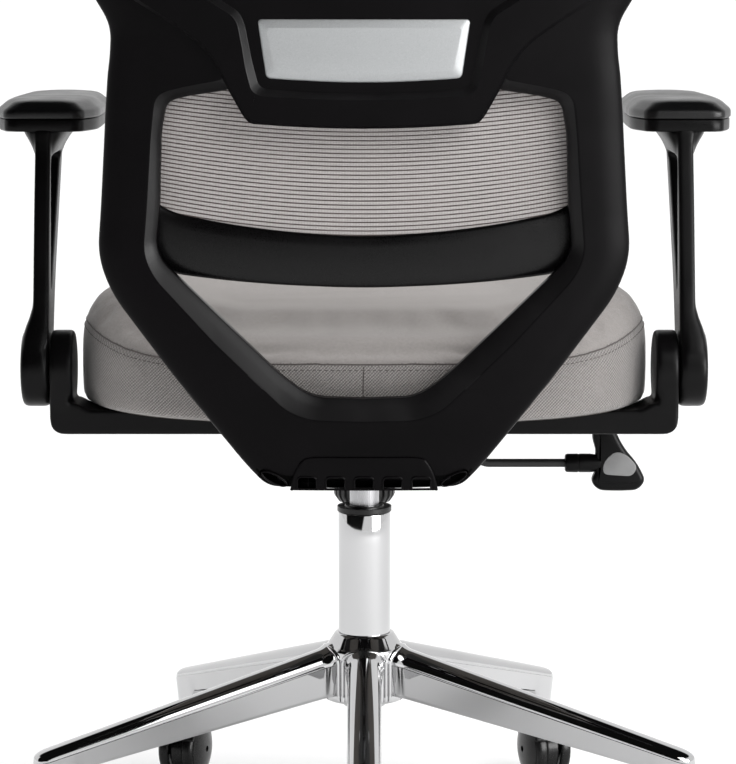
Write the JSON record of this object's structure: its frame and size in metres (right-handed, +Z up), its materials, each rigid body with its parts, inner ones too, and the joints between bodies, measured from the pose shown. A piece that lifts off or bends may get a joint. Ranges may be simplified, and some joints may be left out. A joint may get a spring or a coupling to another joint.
{
  "type": "gaming chair",
  "caption": "High-back swivel task chair with a mesh back, padded seat, flip-up arms, gas lift, tilt mechanism and chromed star base on twin-wheel casters.",
  "frame": {"origin": "on the floor under the gas column's axis", "axes": "+Z up, the sitter faces -Y, +X is the sitter's left"},
  "size_m": [0.69, 0.6265, 1.136],
  "materials": {
    "chrome": "polished",
    "steel": "ground",
    "black_nylon": "satin",
    "black_plastic": "fine grain",
    "black_steel": "powder coat",
    "badge": "plain disc",
    "seat_board": "stained board",
    "seat_fabric": "woven",
    "mesh": "open mesh",
    "pad_leather": "soft moulded skin",
    "satin_plaque": "satin silver"
  },
  "bodies": {
    "base": {"five_star_base": "chrome", "caster_stems": "steel", "gas_column": "chrome", "column_bushing": "black_nylon", "thrust_bearing": "steel"},
    "caster_1": {"caster_hood_1": "black_nylon", "caster_axle_1": "steel"},
    "wheels_1": {"caster_wheels_1": "black_nylon"},
    "caster_2": {"caster_hood_2": "black_nylon", "caster_axle_2": "steel"},
    "wheels_2": {"caster_wheels_2": "black_nylon"},
    "caster_3": {"caster_hood_3": "black_nylon", "caster_axle_3": "steel"},
    "wheels_3": {"caster_wheels_3": "black_nylon"},
    "caster_4": {"caster_hood_4": "black_nylon", "caster_axle_4": "steel"},
    "wheels_4": {"caster_wheels_4": "black_nylon"},
    "caster_5": {"caster_hood_5": "black_nylon", "caster_axle_5": "steel"},
    "wheels_5": {"caster_wheels_5": "black_nylon"},
    "lift_rod": {"piston_rod": "steel", "retaining_clip": "steel"},
    "mechanism": {"gas_cylinder": "steel", "mechanism_housing": "black_steel", "tilt_spring": "steel", "tilt_pivot_pin": "steel"},
    "release": {"release_button": "steel"},
    "tension": {"tension_knob": "black_plastic", "tension_screw": "steel"},
    "tilt_lock": {"tilt_lock_bar": "steel"},
    "lever": {"lever_rod": "black_steel", "lever_socket": "black_plastic", "lever_paddle": "black_plastic", "lever_badge": "badge"},
    "seat": {"tilt_plate": "black_steel", "seat_pan": "seat_board", "seat_cushion": "seat_fabric", "arm_bracket_left": "black_plastic", "arm_bracket_right": "black_plastic", "seat_bolts": "steel", "back_bolts": "steel", "back_frame": "black_plastic", "back_brace": "black_plastic", "brace_plaque": "satin_plaque", "mesh_hoop": "black_plastic", "mesh_panel": "mesh", "hoop_screws": "steel", "arm_pin_left": "steel", "arm_pin_right": "steel"},
    "arm_left": {"arm_left": "black_plastic", "pad_shell_left": "black_plastic", "pad_top_left": "pad_leather"},
    "arm_right": {"arm_right": "black_plastic", "pad_shell_right": "black_plastic", "pad_top_right": "pad_leather"}
  },
  "joints": [
    {"name": "caster_1_swivel", "type": "hinge", "parent": "base", "child": "caster_1", "pos_m": [0, 0.305, 0.07], "axis": [0, 0, 1], "continuous": true},
    {"name": "wheels_1_roll", "type": "hinge", "parent": "caster_1", "child": "wheels_1", "pos_m": [0, 0.327, 0.03], "axis": [-1, 0, 0], "continuous": true},
    {"name": "caster_2_swivel", "type": "hinge", "parent": "base", "child": "caster_2", "pos_m": [-0.29007, 0.09425, 0.07], "axis": [0, 0, 1], "continuous": true},
    {"name": "wheels_2_roll", "type": "hinge", "parent": "caster_2", "child": "wheels_2", "pos_m": [-0.30331, 0.11182, 0.03], "axis": [-0.7986, -0.6018, 0], "continuous": true},
    {"name": "caster_3_swivel", "type": "hinge", "parent": "base", "child": "caster_3", "pos_m": [-0.17927, -0.24675, 0.07], "axis": [0, 0, 1], "continuous": true},
    {"name": "wheels_3_roll", "type": "hinge", "parent": "caster_3", "child": "wheels_3", "pos_m": [-0.1868, -0.22608, 0.03], "axis": [-0.9397, -0.342, 0], "continuous": true},
    {"name": "caster_4_swivel", "type": "hinge", "parent": "base", "child": "caster_4", "pos_m": [0.17927, -0.24675, 0.07], "axis": [0, 0, 1], "continuous": true},
    {"name": "wheels_4_roll", "type": "hinge", "parent": "caster_4", "child": "wheels_4", "pos_m": [0.1868, -0.22608, 0.03], "axis": [-0.9397, 0.342, 0], "continuous": true},
    {"name": "caster_5_swivel", "type": "hinge", "parent": "base", "child": "caster_5", "pos_m": [0.29007, 0.09425, 0.07], "axis": [0, 0, 1], "continuous": true},
    {"name": "wheels_5_roll", "type": "hinge", "parent": "caster_5", "child": "wheels_5", "pos_m": [0.30331, 0.11182, 0.03], "axis": [-0.7986, 0.6018, 0], "continuous": true},
    {"name": "seat_swivel", "type": "hinge", "parent": "base", "child": "lift_rod", "pos_m": [0, 0, 0.13], "axis": [0, 0, 1], "continuous": true},
    {"name": "height_lift", "type": "slide", "parent": "lift_rod", "child": "mechanism", "axis": [0, 0, 1], "range_m": [-0.03, 0.06]},
    {"name": "release_press", "type": "slide", "parent": "mechanism", "child": "release", "axis": [0, 0, -1], "range_m": [0, 0.0025]},
    {"name": "tension_turn", "type": "hinge", "parent": "mechanism", "child": "tension", "pos_m": [0, -0.08, 0.33], "axis": [0, 0, 1], "continuous": true},
    {"name": "tilt_lock_slide", "type": "slide", "parent": "mechanism", "child": "tilt_lock", "axis": [-1, 0, 0], "range_m": [0, 0.012]},
    {"name": "lever_lift", "type": "hinge", "parent": "tilt_lock", "child": "lever", "pos_m": [-0.028, 0.002, 0.411], "axis": [0, 1, 0], "range_deg": [0, 4.5], "stiffness_Nm_per_rad": 6, "springref_deg": -8.59},
    {"name": "seat_tilt", "type": "hinge", "parent": "mechanism", "child": "seat", "pos_m": [0, -0.048, 0.412], "axis": [-1, 0, 0], "range_deg": [0, 12], "stiffness_Nm_per_rad": 120, "springref_deg": -20.05},
    {"name": "arm_left_flip", "type": "hinge", "parent": "seat", "child": "arm_left", "pos_m": [0.303, 0.084, 0.469], "axis": [-1, 0, 0], "range_deg": [0, 90]},
    {"name": "arm_right_flip", "type": "hinge", "parent": "seat", "child": "arm_right", "pos_m": [-0.303, 0.084, 0.469], "axis": [-1, 0, 0], "range_deg": [0, 90]}
  ],
  "couplings": [
    {"joint": "release_press", "follows": "lever_lift", "m_per_rad": 0.0318}
  ]
}
